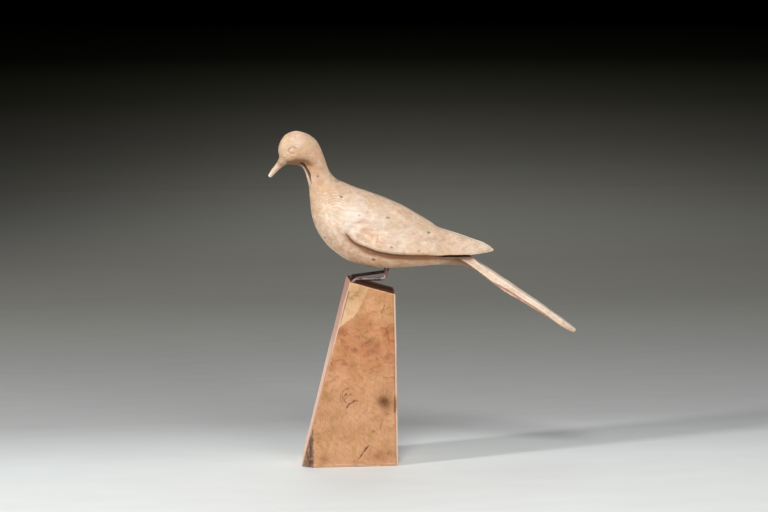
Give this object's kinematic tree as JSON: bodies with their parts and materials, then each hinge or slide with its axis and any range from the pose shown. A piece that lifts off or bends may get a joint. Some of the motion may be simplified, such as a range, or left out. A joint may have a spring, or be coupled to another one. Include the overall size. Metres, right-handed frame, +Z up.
{
  "type": "pigeon decoy",
  "caption": "Carved wooden pigeon with a bowed head and a long narrow tail, standing on bent iron legs let into the slanted top of a tapered timber block.",
  "frame": {"origin": "middle of the timber block's flat underside, on the surface it stands on", "axes": "+Z up, the bird looks along -X, its left side faces -Y"},
  "size_m": [0.3633, 0.0832, 0.3899],
  "materials": {
    "bleached_wood": "bare pale wood, smoothed and weathered, with faint knife marks",
    "old_iron": "dull dark iron, worn brighter on the bends",
    "old_timber": "dry orange-brown timber with knots, cracks and a dark top"
  },
  "bodies": {
    "root": {"pigeon": "bleached_wood", "left_leg": "old_iron", "right_leg": "old_iron", "perch_block": "old_timber"}
  },
  "joints": []
}
